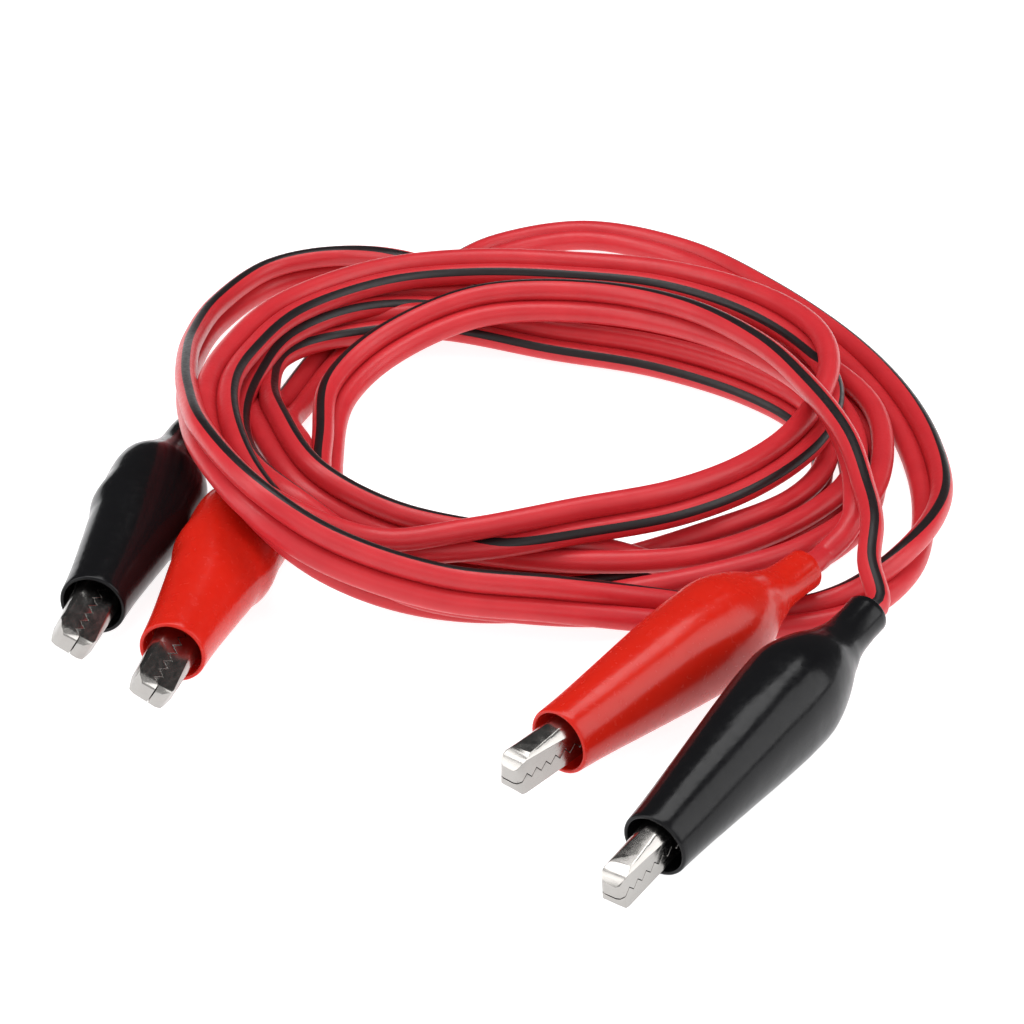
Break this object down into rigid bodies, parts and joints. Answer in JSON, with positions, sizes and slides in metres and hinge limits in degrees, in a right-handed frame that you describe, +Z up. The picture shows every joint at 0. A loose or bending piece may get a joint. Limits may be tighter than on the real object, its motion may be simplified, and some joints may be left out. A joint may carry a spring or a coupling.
{
  "type": "double alligator clip lead",
  "caption": "Flat two-core test lead wound in loose loops, with a red and a black insulated alligator clip at each end.",
  "frame": {"origin": "on the table, at the middle of the box round the clips", "axes": "+Z up; +X and +Y along the table, the right-hand clips' jaws point towards -Y"},
  "size_m": [0.0895, 0.1259, 0.016],
  "materials": {
    "red_pvc": "satin PVC",
    "striped_pvc": "satin PVC with one dark stripe",
    "red_vinyl": "glossy soft vinyl",
    "black_vinyl": "glossy soft vinyl",
    "nickel_plate": "nickel plated steel",
    "spring_steel": "bright spring wire",
    "copper": "bare copper strands",
    "solder": "dull solder"
  },
  "bodies": {
    "lead": {"plain_core": "red_pvc", "striped_core": "striped_pvc", "right_red_boot": "red_vinyl", "right_red_lower_jaw": "nickel_plate", "right_red_pivot_pin": "nickel_plate", "right_red_spring": "spring_steel", "right_red_conductor": "copper", "right_red_solder": "solder", "right_black_boot": "black_vinyl", "right_black_lower_jaw": "nickel_plate", "right_black_pivot_pin": "nickel_plate", "right_black_spring": "spring_steel", "right_black_conductor": "copper", "right_black_solder": "solder", "left_red_boot": "red_vinyl", "left_red_lower_jaw": "nickel_plate", "left_red_pivot_pin": "nickel_plate", "left_red_spring": "spring_steel", "left_red_conductor": "copper", "left_red_solder": "solder", "left_black_boot": "black_vinyl", "left_black_lower_jaw": "nickel_plate", "left_black_pivot_pin": "nickel_plate", "left_black_spring": "spring_steel", "left_black_conductor": "copper", "left_black_solder": "solder"},
    "right_red_jaw": {"right_red_upper_jaw": "nickel_plate"},
    "right_black_jaw": {"right_black_upper_jaw": "nickel_plate"},
    "left_red_jaw": {"left_red_upper_jaw": "nickel_plate"},
    "left_black_jaw": {"left_black_upper_jaw": "nickel_plate"}
  },
  "joints": [
    {"name": "right_red_open", "type": "hinge", "parent": "lead", "child": "right_red_jaw", "pos_m": [0.0163, -0.0112, 0.0053], "axis": [-0.7547, 0.6561, 0], "range_deg": [0, 20], "stiffness_Nm_per_rad": 0.06, "springref_deg": -20.05, "deforming": ["right_red_spring", "right_red_boot"]},
    {"name": "right_black_open", "type": "hinge", "parent": "lead", "child": "right_black_jaw", "pos_m": [0.0236, -0.0233, 0.0047], "axis": [-0.8192, 0.5736, 0], "range_deg": [0, 20], "stiffness_Nm_per_rad": 0.06, "springref_deg": -20.05, "deforming": ["right_black_spring", "right_black_boot"]},
    {"name": "left_red_open", "type": "hinge", "parent": "lead", "child": "left_red_jaw", "pos_m": [-0.0252, 0.0059, 0.005], "axis": [-0.4851, 0.121, -0.866], "range_deg": [0, 20], "stiffness_Nm_per_rad": 0.06, "springref_deg": -20.05, "deforming": ["left_red_spring", "left_red_boot"]},
    {"name": "left_black_open", "type": "hinge", "parent": "lead", "child": "left_black_jaw", "pos_m": [-0.034, 0.0139, 0.005], "axis": [-0.4891, 0.104, -0.866], "range_deg": [0, 20], "stiffness_Nm_per_rad": 0.06, "springref_deg": -20.05, "deforming": ["left_black_spring", "left_black_boot"]}
  ]
}
